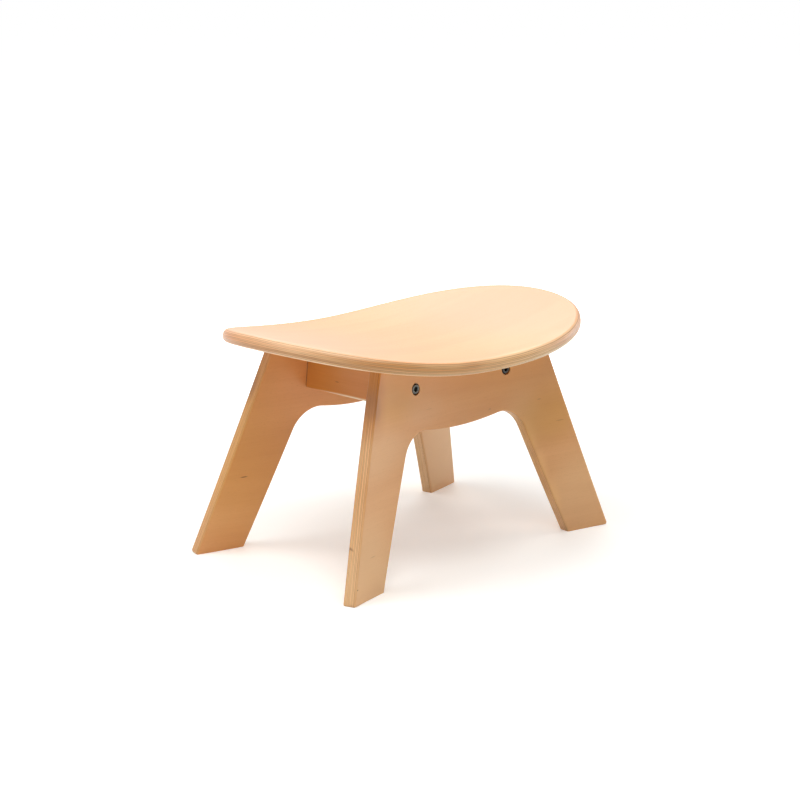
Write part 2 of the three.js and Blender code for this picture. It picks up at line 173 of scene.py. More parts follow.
# How many marks each noise has per metre in three directions, or per ply where the third one is
# the number of the ply, its levels of detail and its roughness
NOISES = {
    "figure": ((3.5, 26, 40), 3, 0.5),
    "streaks": ((16, 700, 700), 3, 0.6),
    "rays": ((260, 1900, 1900), 1, 0.5),
    "pores": ((200, 1500, 1500), 2, 0.5),
    "wandering joints": ((16, 16, 0), 1, 0.5),
    "uneven plies": ((12, 12, 3.71), 1, 0.5),
    "fading glue": ((30, 30, 5.3), 1, 0.5),
    "clouds": ((900, 900, 900), 4, 0.6),
    "scratches": ((6000, 600, 6000), 2, 0.5),
}

# The plating of each kind of steel fitting, and how rough it is
PLATING = {
    "bolt": ("dark_zinc", 0.42),
    "nut": ("dark_zinc", 0.38),
    "screw": ("bright_zinc", 0.32),
}

# Where each lamp stands, how wide it is, and its power in watts
LAMPS = {
    "overhead": ((0, 0, 2.2), 1.6, 20),
    "high_left": ((-1.1, -0.1, 2.3), 1.0, 5.7),
    "left": ((-1.3, 1.0, 1.9), 1.4, 17.2),
    "low_left": ((-2.2, 0.5, 1.2), 1.4, 7.3),
    "back": ((1.3, 1.3, 1.6), 1.4, 15.9),
    "right": ((2.4, -0.6, 0.7), 1.5, 24),
    "front": ((-0.9, -1.2, 2.2), 1.4, 19.8),
}


def length(name, default, description):
    """A size that a user may change, in metres."""
    return FloatProperty(
        name=name, default=default, description=description, min=0, precision=4,
        subtype="DISTANCE", unit="LENGTH",
    )


def angle(name, degrees, description):
    """An angle that a user may change."""
    return FloatProperty(
        name=name, default=radians(degrees), description=description,
        subtype="ANGLE", unit="ROTATION",
    )


def amount(name, default, description, highest=10):
    """A plain number that a user may change."""
    return FloatProperty(
        name=name, default=default, description=description, min=0, max=highest, precision=3,
    )


def tint(name, default, description):
    """A colour that a user may change."""
    return FloatVectorProperty(
        name=name, default=default, description=description, subtype="COLOR", size=3, min=0, max=1,
    )


class StoolBoardSizes(bpy.types.PropertyGroup):
    """Sizes of the moulded seat and of the side panels."""

    seat_length: length("Seat length", 0.426, "Length of the seat along its bend")
    seat_width: length("Seat width", 0.279, "Width of the seat")
    seat_thickness: length("Seat thickness", 0.0137, "Thickness of the seat's plywood")
    seat_bend: length("Seat bend", 0.778, "Radius of the seat's middle ply")
    seat_underside: length("Seat underside", 0.208, "Height of the seat's underside at its middle")
    seat_edge: length("Seat edge", 0.0057, "Radius of the seat's rounded rim")
    seat_end_fullness: amount("End fullness", 3, "How square the seat's ends are")
    seat_side_fullness: amount("Side fullness", 2, "How square the seat's sides are")
    panel_thickness: length("Panel thickness", 0.0135, "Thickness of the side panels' plywood")
    panel_bend: length("Panel bend", 0.745, "Radius of the side panels' middle ply")
    panel_spread: length("Panel spread", 0.1792, "Distance between the panels' middles at the floor")
    panel_lean: angle("Panel lean", 6.1, "How far the panels lean together")
    panel_edge: length("Panel edge", 0.002, "Radius of the side panels' rounded edges")
    leg_reach: length("Leg reach", 0.1997, "Reach of a leg along the panel at the floor")
    leg_width: length("Leg width", 0.0558, "Width of a leg at the floor")
    leg_outer_rake: angle("Outer rake", 18.95, "Rake of a leg's outer edge")
    leg_inner_rake: angle("Inner rake", 22.8, "Rake of a leg's inner edge")
    toe: length("Toe", 0.0025, "Radius of a leg's outer bottom corner")
    arch_height: length("Arch height", 0.1402, "Height of the arch at its middle")
    arch_sag: length("Arch sag", 0.37, "Radius of the arch's sagging middle")
    arch_corner: length("Arch corner", 0.035, "Radius of the arch's corners")
    clearance: length("Clearance", 0.0003, "Gap between pieces that touch")


class StoolFittingSizes(bpy.types.PropertyGroup):
    """Sizes of the rails, bolts, nuts, dowels and screws."""

    rail_edge: length("Rail edge", 0.0025, "Radius of the rails' long edges")
    rail_end: length("Rail end", 0.0006, "Radius of the edges round the rails' ends")
    bolt_diameter: length("Bolt diameter", 0.006, "Diameter of the bolts' thread")
    bolt_length: length("Bolt length", 0.04, "Length of the bolts under the head")
    bolt_thread: length("Bolt thread", 0.024, "Length of the bolts' thread")
    bolt_pitch: length("Bolt pitch", 0.001, "Pitch of the bolts' thread")
    head_diameter: length("Head diameter", 0.01, "Diameter of the bolts' heads")
    head_height: length("Head height", 0.006, "Height of the bolts' heads")
    head_chamfer: length("Head chamfer", 0.0007, "Chamfer round the bolts' heads")
    counterbore: length("Counterbore", 0.0124, "Diameter of the sunk holes for the heads")
    socket: length("Socket", 0.005, "Width of the bolts' hexagon sockets across their flats")
    socket_depth: length("Socket depth", 0.003, "Depth of the bolts' hexagon sockets")
    nut_diameter: length("Nut diameter", 0.01, "Diameter of the barrel nuts")
    nut_length: length("Nut length", 0.014, "Length of the barrel nuts")
    nut_slot: length("Nut slot", 0.0012, "Width of the barrel nuts' slots")
    nut_slot_depth: length("Nut slot depth", 0.0015, "Depth of the barrel nuts' slots")
    dowel_diameter: length("Dowel diameter", 0.006, "Diameter of the wooden dowels")
    dowel_length: length("Dowel length", 0.024, "Length of the wooden dowels")
    dowel_chamfer: length("Dowel chamfer", 0.0008, "Chamfer of the dowels' ends")
    screw_diameter: length("Screw diameter", 0.004, "Diameter of the seat screws' thread")
    screw_length: length("Screw length", 0.031, "Length of the seat screws under the head")
    screw_pitch: length("Screw pitch", 0.0009, "Pitch of the seat screws' thread")
    screw_point: length("Screw point", 0.004, "Length of the seat screws' point")
    screw_head: length("Screw head", 0.008, "Diameter of the seat screws' heads")
    screw_head_height: length("Screw head height", 0.0026, "Height of the seat screws' heads")
    screw_cross: length("Screw cross", 0.0044, "Length of the cross slots in the screws")
    screw_cross_width: length("Screw cross width", 0.001, "Width of the cross slots in the screws")
    screw_cross_depth: length("Screw cross depth", 0.0016, "Depth of the cross slots in the screws")


class StoolFinish(bpy.types.PropertyGroup):
    """Colours and gloss of the wood and the metal, and the colours that paint light and shade on
    them.
    """

    face_light: tint("Face light", (0.85, 0.43, 0.165), "Pale wood of the veneer faces")
    face_dark: tint("Face dark", (0.75, 0.338, 0.115), "Darker figure of the veneer faces")
    fleck: tint("Fleck", (0.52, 0.23, 0.075), "Short rays in the beech")
    end_grain: tint("End grain", (0.58, 0.30, 0.11), "Plies that show their end grain")
    # Glue also paints shade in the corners at the left rail
    glue: tint("Glue line", (0.34, 0.14, 0.05), "Lines between the plies")
    # Pale, honey and rosy areas are painted light and sheen, and amber and brown areas are painted
    # shade; pale and brown also give each ply its own tone
    pale: tint("Pale", (0.90, 0.62, 0.34), "Broad paler areas of the wood")
    honey: tint("Honey", (1.0, 0.58, 0.22), "Brighter areas of the wood")
    rosy: tint("Rosy", (0.86, 0.41, 0.26), "Pinker areas of the wood")
    amber: tint("Amber", (0.78, 0.38, 0.05), "Yellower areas of the wood")
    brown: tint("Brown", (0.56, 0.24, 0.03), "Broad browner areas of the wood")
    # Painted highlight on the left rail's lower edge, and painted light from the floor on the seat's
    # lower plies
    painted_highlight: tint("Rubbed", (1.0, 0.88, 0.62), "Wood on edges that are rubbed bare")
    flaw: tint("Flaw", (0.17, 0.06, 0.015), "Small dark flaws in the wood")
    rail_light: tint("Rail light", (0.67, 0.272, 0.058), "Pale wood of the solid rails")
    # Rail dark also paints shade on the panels at the left rail
    rail_dark: tint("Rail dark", (0.565, 0.21, 0.036), "Darker figure of the solid rails")
    dowel_light: tint("Dowel", (0.74, 0.52, 0.33), "Raw wood of the dowels")
    dark_zinc: tint("Dark zinc", (0.135, 0.135, 0.12), "Plating of the bolts and barrel nuts")
    bright_zinc: tint("Bright zinc", (0.62, 0.62, 0.60), "Plating of the seat screws")
    # Painted shade on a bolt under the seat
    painted_shade: tint("Oily", (0.03, 0.03, 0.03), "Plating that is dark with oil")
    lacquer: amount("Lacquer", 0.36, "Roughness of the lacquered wood", 1)
    ray_dullness: amount("Ray dullness", 0.12, "Roughness that the rays add to the lacquer", 1)
    raw_wood: amount("Raw wood", 0.75, "Roughness of the raw wood", 1)
    pore_depth: length("Pore depth", 0.00002, "Depth of the rays and glue lines in the wood")


class StoolStage(bpy.types.PropertyGroup):
    """Camera, lamps and floor."""

    azimuth: angle("Azimuth", -45.88, "Direction of the camera round the stool")
    elevation: angle("Elevation", 13.44, "Height of the camera above the horizon")
    roll: angle("Roll", 0.51, "Turn of the camera about its own line of sight")
    distance: length("Distance", 1.968, "Distance of the camera from the point it looks at")
    lens: amount("Lens", 83.78, "Focal length in millimetres", 500)
    aim: FloatVectorProperty(
        name="Aim", default=(-0.00934, 0, 0.15406), size=3, subtype="TRANSLATION", unit="LENGTH",
        description="Point that the camera looks at",
    )
    light: amount("Light", 1, "Strength of all the lamps together")
    floor_tint: tint("Floor", (0.925, 0.935, 0.915), "Colour of the floor")
    floor_lift: amount("Floor lift", 0.22, "Light that the floor adds to its own picture", 1)
    floor_fade: length("Floor fade", 0.5, "Distance at which the floor starts to fade to white")
    floor_white: length("Floor white", 1.1, "Distance from which the floor is white")


# Shapes


def all_geometry(bm):
    """Everything in a mesh, as most operators want it."""
    return bm.verts[:] + bm.edges[:] + bm.faces[:]


def cut(bm, place, normal, **clear):
    """Cuts a mesh with a plane and returns what lies on the cut."""
    done = bmesh.ops.bisect_plane(
        bm, geom=all_geometry(bm), dist=MERGE_DISTANCE, plane_co=place, plane_no=normal, **clear,
    )
    return done["geom_cut"]


def arc(bm, start, centre, turn, steps):
    """Draws an arc from a vertex round a centre and returns its last vertex."""
    spun = bmesh.ops.spin(
        bm, geom=[start], cent=(*centre, 0), axis=(0, 0, 1), angle=turn, steps=steps,
        use_merge=False, use_duplicate=False,
    )
    return spun["geom_last"][0]


def line(bm, start, x, y):
    """Draws a straight line from a vertex and returns its far end."""
    end = bmesh.ops.extrude_vert_indiv(bm, verts=[start])["verts"][0]
    end.co = (x, y, 0)
    return end


def raise_faces(bm, faces, rise, swell=1):
    """Pulls flat faces up, makes them wider or narrower, and returns them."""
    grown = bmesh.ops.extrude_face_region(bm, geom=faces)["geom"]
    points = [v for v in grown if isinstance(v, bmesh.types.BMVert)]
    bmesh.ops.translate(bm, verts=points, vec=(0, 0, rise))
    bmesh.ops.scale(bm, verts=points, vec=(swell, swell, 1))
    return [f for f in grown if isinstance(f, bmesh.types.BMFace)]


def thicken(bm, thickness):
    """Makes a flat outline a board, with its middle ply at zero."""
    bmesh.ops.translate(bm, verts=bm.verts, vec=(0, 0, -thickness / 2))
    raise_faces(bm, bm.faces[:], thickness)
    bmesh.ops.recalc_face_normals(bm, faces=bm.faces)


def round_edges(bm, edges, radius, segments):
    """Rounds edges over."""
    bmesh.ops.bevel(
        bm, geom=edges, offset=radius, offset_type="OFFSET", affect="EDGES", segments=segments,
        profile=0.5, material=-1, clamp_overlap=False,
    )


def sharp_edges(bm):
    """Edges at which the surface turns sharply."""
    return [e for e in bm.edges if e.is_manifold and e.calc_face_angle() > SHARP]


def bent(point, radius):
    """Where a point of the flat board comes to lie on the bend."""
    turn = point.x / radius
    reach = radius - point.z
    return Vector((reach * sin(turn), point.y, radius - reach * cos(turn)))


def flattened(point, radius):
    """Where a point on the bend lies in the flat board."""
    way = copysign(1, radius)
    reach = way * hypot(point.x, radius - point.z)
    turn = atan2(way * point.x, way * (radius - point.z))
    return Vector((radius * turn, point.y, radius - reach))


def bend_board(bm, radius, place):
    """Lays a flat board on its bend and stands it in its place."""
    for v in bm.verts:
        v.co = place @ bent(v.co, radius)


def mark_plies(bm, radius, place):
    """Keeps where each vertex lies in the flat board, for the grain and the plies."""
    layer = bm.verts.layers.float_vector.new(BOARD)
    to_board = place.inverted()
    for v in bm.verts:
        v[layer] = flattened(to_board @ v.co, radius)


def turned(bm, profile):
    """Turns a profile of (radius, height) points about the upright axis."""
    points = [bm.verts.new((radius, 0, height)) for radius, height in profile]
    edges = [bm.edges.new(pair) for pair in zip(points, points[1:])]
    bmesh.ops.spin(
        bm, geom=points + edges, cent=(0, 0, 0), axis=(0, 0, 1), angle=2 * pi,
        steps=ROUND_STEPS, use_merge=True, use_duplicate=False,
    )
    bmesh.ops.remove_doubles(bm, verts=bm.verts, dist=MERGE_DISTANCE)
    bmesh.ops.recalc_face_normals(bm, faces=bm.faces)


def wind_thread(bm, diameter, pitch, start, stop):
    """Winds a thread round the upright axis, from one height to another."""
    foot, crest = 0.45, 0.06
    section = ((-THREAD_DEPTH, -foot), (0, -crest), (0, crest), (-THREAD_DEPTH, foot))
    rib = [
        bm.verts.new((diameter / 2 + out * pitch, 0, start + up * pitch)) for out, up in section
    ]
    edges = [bm.edges.new(pair) for pair in zip(rib, rib[1:])]
    turns = (stop - start) / pitch
    bmesh.ops.spin(
        bm, geom=rib + edges, cent=(0, 0, 0), axis=(0, 0, 1), dvec=(0, 0, pitch / THREAD_STEPS),
        angle=2 * pi * turns, steps=round(turns * THREAD_STEPS), use_merge=False,
        use_duplicate=False,
    )
    bmesh.ops.recalc_face_normals(bm, faces=bm.faces)


def facing(place, toward):
    """The matrix that brings an upright thing to a place and turns its top towards a side."""
    return Matrix.Translation(place) @ Vector(toward).to_track_quat("Z", "Y").to_matrix().to_4x4()


def rod(diameter, start, end, steps=ROUND_STEPS, taper=1):
    """A tool from one point to another: a cylinder, a prism or a cone."""
    bm = bmesh.new()
    start, end = Vector(start), Vector(end)
    bmesh.ops.create_cone(
        bm, cap_ends=True, segments=steps, radius1=diameter / 2, radius2=taper * diameter / 2,
        depth=(end - start).length, matrix=facing((start + end) / 2, end - start),
    )
    return bm


def block(low, high):
    """A tool or a blank with straight sides, from one corner to the other."""
    bm = bmesh.new()
    low, high = Vector(low), Vector(high)
    place = Matrix.LocRotScale((low + high) / 2, None, high - low)
    bmesh.ops.create_cube(bm, size=1, matrix=place)
    return bm


def new_object(name, data):
    """An object in the scene with a mesh, a lamp or a camera in it."""
    made = bpy.data.objects.new(name, data)
    bpy.context.scene.collection.objects.link(made)
    return made


def mesh_object(name, bm):
    """An object with the shape that has been built."""
    mesh = bpy.data.meshes.new(name)
    bm.to_mesh(mesh)
    return new_object(name, mesh)


def drill(bm, tools):
    """Takes the bodies of the tools out of a piece."""
    blank = mesh_object("blank", bm)
    cutters = [mesh_object("cutter", tool) for tool in tools]
    for cutter in cutters:
        hole = blank.modifiers.new("hole", "BOOLEAN")
        hole.operation = "DIFFERENCE"
        hole.solver = "EXACT"
        hole.object = cutter
    bpy.context.view_layer.update()
    bm.clear()
    bm.from_object(blank, bpy.context.evaluated_depsgraph_get())
    for scratch in [blank, *cutters]:
        mesh = scratch.data
        bpy.data.objects.remove(scratch)
        bpy.data.meshes.remove(mesh)
    for tool in tools:
        tool.free()


def place_piece(name, node, bm, material):
    """Makes a finished piece that stands for a node and rides on the frame."""
    piece = mesh_object(name, bm)
    bm.free()
    piece.data.shade_smooth()
    piece.data.set_sharp_from_angle(angle=SHARP)
    piece.data.materials.append(material)
    even = piece.modifiers.new("even shading", "WEIGHTED_NORMAL")
    even.keep_sharp = True
    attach(piece, BODY)
    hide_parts(node)


def half_turn(bm):
    """Turns a piece half round the middle of the stool."""
    bmesh.ops.rotate(bm, verts=bm.verts, matrix=Matrix.Rotation(pi, 3, "Z"))


def node_box(node):
    """A node's lowest corner, its middle and its highest corner."""
    low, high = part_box(node)
    return low, (low + high) / 2, high


def stand(bm, node, toward):
    """Moves a piece made upright round zero to a node's place, with its top towards a side."""
    _, middle, _ = node_box(node)
    bmesh.ops.transform(bm, matrix=facing(middle, toward), verts=bm.verts)
    return bm


# Lines that the boards share


def seat_place(sizes):
    """Where the seat's flat board stands."""
    return Matrix.Translation((0, 0, sizes.seat_underside + sizes.seat_thickness / 2))


def panel_place(sizes):
    """Where the back panel's flat board stands."""
    lean = Matrix.Rotation(pi / 2 + sizes.panel_lean, 4, "X")
    return Matrix.Translation((0, sizes.panel_spread / 2, 0)) @ lean


def seat_underside_at(sizes, x):
    """Height at which pieces meet the seat from below."""
    radius = sizes.seat_bend + sizes.seat_thickness / 2
    centre = sizes.seat_underside + radius
    return centre - sqrt((radius + sizes.clearance) ** 2 - x**2)


def panel_flare(sizes, x, depth):
    """How far the panel's bend carries a point outwards. Depth is measured inwards."""
    return sizes.panel_bend - sqrt((sizes.panel_bend + depth) ** 2 - x**2)


def panel_inner_face(sizes, x, z):
    """Distance from the middle of the stool to a panel's inner face."""
    flare = panel_flare(sizes, x, sizes.panel_thickness / 2)
    return sizes.panel_spread / 2 - z * tan(sizes.panel_lean) + flare / cos(sizes.panel_lean)


def panel_top_line(sizes, along, depth):
    """Where the flat panel ends under the seat."""
    x = (sizes.panel_bend + depth) * sin(along / sizes.panel_bend)
    rise = panel_flare(sizes, x, depth) * sin(sizes.panel_lean)
    return (seat_underside_at(sizes, x) - rise) / cos(sizes.panel_lean)


# Moulded boards


def seat_board(sizes):
    """The seat: an oval outline, thickened, rounded over and bent up at its ends."""
    bm = bmesh.new()
    bmesh.ops.create_circle(bm, cap_ends=True, cap_tris=False, segments=OUTLINE_STEPS, radius=1)
    half_length = sizes.seat_length / 2
    half_width = sizes.seat_width / 2

    def half_width_at(share):
        fullness = 1 - min(abs(share), 1) ** sizes.seat_end_fullness
        return half_width * fullness ** (1 / sizes.seat_side_fullness)

    for v in bm.verts:
        v.co = (v.co.x * half_length, copysign(half_width_at(v.co.x), v.co.y), 0)
    bmesh.ops.remove_doubles(bm, verts=bm.verts, dist=MERGE_DISTANCE)
    cut_along(bm, half_length)
    for v in bm.verts:
        if abs(v.co.y) > MERGE_DISTANCE:
            v.co.y = copysign(half_width_at(v.co.x / half_length), v.co.y)
    thicken(bm, sizes.seat_thickness)
    round_edges(bm, sharp_edges(bm), sizes.seat_edge, segments=8)
    bend_board(bm, sizes.seat_bend, seat_place(sizes))
    fill_box(bm, "seat")
    return bm


def fill_box(bm, node):
    """Scales a piece by a hair in length and height, so that it ends where its node does."""
    low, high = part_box(node)
    reach, top = (max(v.co[axis] for v in bm.verts) for axis in (0, 2))
    foot = Matrix.Translation((0, 0, low.z))
    scale = Matrix.Diagonal((high.x / reach, 1, (high.z - low.z) / (top - low.z), 1))
    bmesh.ops.transform(bm, matrix=foot @ scale @ foot.inverted(), verts=bm.verts)


def cut_along(bm, half_length):
    """Cuts a flat outline into strips across its length, so that it can bend."""
    strips = ceil(2 * half_length / STRIP_WIDTH)
    for strip in range(1, strips):
        cut(bm, ((2 * strip / strips - 1) * half_length, 0, 0), (1, 0, 0))


def panel_outline(sizes):
    """The flat outline of a side panel, with its top edge on a level line."""
    foot_flare = sizes.panel_bend * (1 - cos(sizes.leg_reach / sizes.panel_bend))
    foot_level = -(foot_flare + sizes.panel_thickness / 2) * tan(sizes.panel_lean)
    foot_inner = sizes.leg_reach - sizes.leg_width
    outer, inner = sizes.leg_outer_rake, sizes.leg_inner_rake

    def outer_edge(height):
        return sizes.leg_reach - height * tan(outer)

    toe_height = foot_level + sizes.toe
    toe_centre = Vector((outer_edge(toe_height) - sizes.toe / cos(outer), toe_height))
    corner_centre = arch_corner_centre(sizes, foot_inner)
    sag_turn = asin(corner_centre.x / (sizes.arch_sag + sizes.arch_corner))
    top = panel_top_corner(sizes)

    bm = bmesh.new()
    tip = bm.verts.new((0, sizes.arch_height, 0))
    tip = arc(bm, tip, (0, sizes.arch_height + sizes.arch_sag), sag_turn, steps=12)
    tip = arc(bm, tip, corner_centre, inner - sag_turn - pi / 2, steps=20)
    tip = line(bm, tip, foot_inner - foot_level * tan(inner), foot_level)
    tip = line(bm, tip, toe_centre.x, foot_level)
    tip = arc(bm, tip, toe_centre, pi / 2 + outer, steps=10)
    tip = line(bm, tip, top.x, top.y)
    line(bm, tip, 0, top.y)
    bmesh.ops.mirror(
        bm, geom=bm.verts[:] + bm.edges[:], matrix=Matrix(), merge_dist=MERGE_DISTANCE, axis="X",
    )
    bmesh.ops.edgeloop_fill(bm, edges=bm.edges)
    return bm, top.y


def arch_corner_centre(sizes, foot_inner):
    """Centre of the circle that touches the leg's inner edge and the sagging arch."""
    rake = sizes.leg_inner_rake
    sag_centre = Vector((0, sizes.arch_height + sizes.arch_sag))
    up_leg = Vector((-sin(rake), cos(rake)))
    into_arch = Vector((-cos(rake), -sin(rake)))
    start = Vector((foot_inner, 0)) + into_arch * sizes.arch_corner
    nearest = (sag_centre - start).dot(up_leg)
    off_line = (sag_centre - start).length_squared - nearest**2
    between_centres = sizes.arch_sag + sizes.arch_corner
    return start + up_leg * (nearest - sqrt(between_centres**2 - off_line))


def panel_top_corner(sizes, tries=12):
    """Where a leg's outer edge meets the seat. Each try comes closer to it."""
    height = sizes.seat_underside
    for _ in range(tries):
        along = sizes.leg_reach - height * tan(sizes.leg_outer_rake)
        height = panel_top_line(sizes, along, 0)
    return Vector((along, height))


def panel_board(sizes, tools):
    """The back panel: cut out flat, rounded over, fitted to the seat, bent, drilled and levelled."""
    bm, top_level = panel_outline(sizes)
    cut_along(bm, sizes.leg_reach)
    thicken(bm, sizes.panel_thickness)

    def on_top(v):
        return abs(v.co.y - top_level) < MERGE_DISTANCE

    rounded = [e for e in sharp_edges(bm) if not (on_top(e.verts[0]) and on_top(e.verts[1]))]
    flat = [e for e in rounded if abs(e.verts[0].co.z - e.verts[1].co.z) < MERGE_DISTANCE]
    round_edges(bm, flat, sizes.panel_edge, segments=6)
    for v in bm.verts:
        if on_top(v):
            drop = panel_top_line(sizes, v.co.x, v.co.z) - top_level
            v.co.y += drop
            if abs(v.co.x) > panel_top_corner(sizes).x - sizes.panel_edge:
                v.co.x -= copysign(drop * tan(sizes.leg_outer_rake), v.co.x)
    bend_board(bm, -sizes.panel_bend, panel_place(sizes))
    rims = cut(bm, (0, 0, 0), (0, 0, 1), clear_inner=True)
    bmesh.ops.holes_fill(bm, edges=[e for e in rims if isinstance(e, bmesh.types.BMEdge)])
    bmesh.ops.recalc_face_normals(bm, faces=bm.faces)
    drill(bm, tools)
    mark_plies(bm, -sizes.panel_bend, panel_place(sizes))
    return bm


# Holes, as tools that cut them


def bore(node, axis, diameter, start, end, steps=ROUND_STEPS):
    """A round tool through the middle of a node, from one place on an axis to another."""
    ends = [node_box(node)[1], node_box(node)[1]]
    ends[0][axis], ends[1][axis] = start, end
    return rod(diameter, *ends, steps)


def bolt_holes(boards, fittings, joint, outwards):
    """The shank's hole and the counterbore for the head, for a bolt that points in from a panel."""
    node, gap = f"bolt_{joint}", boards.clearance
    low, _, high = node_box(node)
    tip, face = (low.y, high.y) if outwards > 0 else (high.y, low.y)
    bearing = face - outwards * (fittings.head_height + gap)
    beyond = face + outwards * fittings.head_height
    return [
        bore(node, 1, fittings.bolt_diameter + 2 * gap, tip - outwards * gap, beyond),
        bore(node, 1, fittings.counterbore, bearing, beyond, 2 * ROUND_STEPS),
    ]


def dowel_holes(boards, fittings, joint):
    """The two holes beside a bolt."""
    gap, tools = boards.clearance, []
    for level in LEVELS:
        node = f"dowel_{joint}_{level}"
        low, _, high = node_box(node)
        tools.append(bore(node, 1, fittings.dowel_diameter + 2 * gap, low.y - gap, high.y + gap))
    return tools


def nut_bore(boards, fittings, joint, inner_face):
    """The bore for a barrel nut, open on the side of the rail towards the middle of the stool."""
    node, gap = f"barrel_nut_{joint}", boards.clearance
    start, end = inner_face - fittings.rail_edge, node_box(node)[2].x + gap
    return bore(node, 0, fittings.nut_diameter + 2 * gap, start, end)


def screw_holes(boards, fittings, joint):
    """The shank's hole and the deep hole for the head of a seat screw."""
    node, gap = f"seat_screw_{joint}", boards.clearance
    low, _, high = node_box(node)
    bearing = low.z + fittings.screw_head_height
    return [
        bore(node, 2, fittings.screw_diameter + 2 * gap, bearing, high.z + gap),
        bore(node, 2, fittings.screw_head + 2 * gap, 0, bearing + gap),
    ]


# Rails and fittings


def rail_bar(boards, fittings):
    """The right rail, with its ends on the panels, cut in strips so that its top fits the seat."""
    low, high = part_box("cross_rail_right")
    bm = block(low, high)
    long_edges = [e for e in bm.edges if abs(e.verts[0].co.y - e.verts[1].co.y) > MERGE_DISTANCE]
    round_edges(bm, long_edges, fittings.rail_edge, segments=6)
    round_edges(bm, sharp_edges(bm), fittings.rail_end, segments=2)
    for share in (0.2, 0.35, 0.5, 0.65, 0.8):
        cut(bm, (low.x + share * (high.x - low.x), 0, 0), (1, 0, 0))
    for v in bm.verts:
        if v.co.z > (low.z + high.z) / 2:
            v.co.z += seat_underside_at(boards, v.co.x) - high.z
        end = panel_inner_face(boards, v.co.x, v.co.z) - boards.clearance
        v.co.y += copysign(end - high.y, v.co.y)
    drill(bm, rail_holes(boards, fittings, low.x))
    return bm


def rail_holes(boards, fittings, inner_face):
    """Every hole in the right rail."""
    tools = []
    for side, way in SIDES.items():
        joint = f"right_{side}"
        tools += bolt_holes(boards, fittings, joint, way) + dowel_holes(boards, fittings, joint)
        tools += screw_holes(boards, fittings, joint)
        tools.append(nut_bore(boards, fittings, joint, inner_face))
    return tools


def socket_bolt(fittings):
    """A bolt with a chamfered head, a hexagon socket and a wound thread."""
    top = (fittings.bolt_length + fittings.head_height) / 2
    under = top - fittings.head_height
    shank, head = fittings.bolt_diameter / 2, fittings.head_diameter / 2
    chamfer, pitch = fittings.head_chamfer, fittings.bolt_pitch
    ease = chamfer / 3
    core = shank - THREAD_DEPTH * pitch
    thread_end = fittings.bolt_thread - top
    bm = bmesh.new()
    turned(bm, [
        (0, -top), (core - chamfer, -top), (core, chamfer - top), (core, thread_end),
        (shank, thread_end + chamfer), (shank, under), (head, under), (head, top - chamfer),
        (head - ease, top - ease), (head - chamfer, top), (0, top),
    ])
    corners = 2 * fittings.socket / sqrt(3)
    bottom = top - fittings.socket_depth
    drill(bm, [
        rod(corners, (0, 0, bottom), (0, 0, top + chamfer), 6),
        rod(fittings.socket, (0, 0, bottom + ease / 3), (0, 0, bottom - chamfer), taper=0),
        rod(corners + chamfer, (0, 0, top + ease), (0, 0, top - chamfer), taper=0.6),
    ])
    wind_thread(bm, fittings.bolt_diameter, pitch, chamfer + pitch / 2 - top, thread_end)
    return bm


def barrel_nut(fittings):
    """A short steel bar with a cross bore and a slot in its end."""
    half, radius = fittings.nut_length / 2, fittings.nut_diameter / 2
    chamfer = fittings.nut_slot_depth / 4
    bm = bmesh.new()
    turned(bm, [
        (0, -half), (radius - chamfer, -half), (radius, chamfer - half),
        (radius, half - chamfer), (radius - chamfer, half), (0, half),
    ])
    beyond, slot = 2 * radius, fittings.nut_slot / 2
    hole = fittings.bolt_diameter + fittings.nut_slot / 4
    drill(bm, [
        rod(hole, (-beyond, 0, 0), (beyond, 0, 0)),
        block((-beyond, -slot, half - fittings.nut_slot_depth), (beyond, slot, half + radius)),
    ])
    return bm


def fluted_dowel(fittings, flutes=20, points=4):
    """A wooden pin with fine flutes along it and chamfered ends."""
    bm = bmesh.new()
    radius, chamfer = fittings.dowel_diameter / 2, fittings.dowel_chamfer
    narrow = (radius - chamfer) / radius
    flute_depth = chamfer / 5
    bmesh.ops.create_circle(bm, cap_ends=True, segments=points * flutes, radius=radius * narrow)
    for place, v in enumerate(bm.verts):
        if place % points == 0:
            v.co *= 1 - flute_depth / radius
    bmesh.ops.translate(bm, verts=bm.verts, vec=(0, 0, -fittings.dowel_length / 2))
    cap = raise_faces(bm, bm.faces[:], chamfer, 1 / narrow)
    cap = raise_faces(bm, cap, fittings.dowel_length - 2 * chamfer)
    raise_faces(bm, cap, chamfer, narrow)
    bmesh.ops.recalc_face_normals(bm, faces=bm.faces)
    return bm


def seat_screw(fittings):
    """A round-headed wood screw, made with its head up."""
    top = (fittings.screw_length + fittings.screw_head_height) / 2
    under = top - fittings.screw_head_height
    head, shank = fittings.screw_head / 2, fittings.screw_diameter / 2
    core = shank - THREAD_DEPTH * fittings.screw_pitch
    crown = fittings.screw_head_height / 3
    ease, plain = crown / 3, 6 * crown
    point = fittings.screw_point - top
    bm = bmesh.new()
    turned(bm, [
        (0, -top), (core, point), (core, under - crown), (shank, under), (head, under),
        (head, top - crown), (head - ease, top - ease), (head - crown, top), (0, top),
    ])
    slot, width = fittings.screw_cross / 2, fittings.screw_cross_width / 2
    floor = top - fittings.screw_cross_depth
    drill(bm, [
        block((-slot, -width, floor), (slot, width, top + crown)),
        block((-width, -slot, floor), (width, slot, top + crown)),
    ])
    wind_thread(bm, fittings.screw_diameter, fittings.screw_pitch, point, under - plain)
    return bm


# Operators, one for each kind of piece


class STOOL_OT_seat(bpy.types.Operator):
    """Makes the seat."""

    bl_idname = "stool.seat"
    bl_label = "Seat"

    def execute(self, context):
        boards, fittings = context.scene.stool_boards, context.scene.stool_fittings
        bm = seat_board(boards)
        drill(bm, [screw_holes(boards, fittings, joint)[0] for joint in JOINTS])
        mark_plies(bm, boards.seat_bend, seat_place(boards))
        wood = plywood(context, "seat", 1, boards.seat_thickness)
        place_piece("seat_board", "seat", bm, wood)
        return {"FINISHED"}


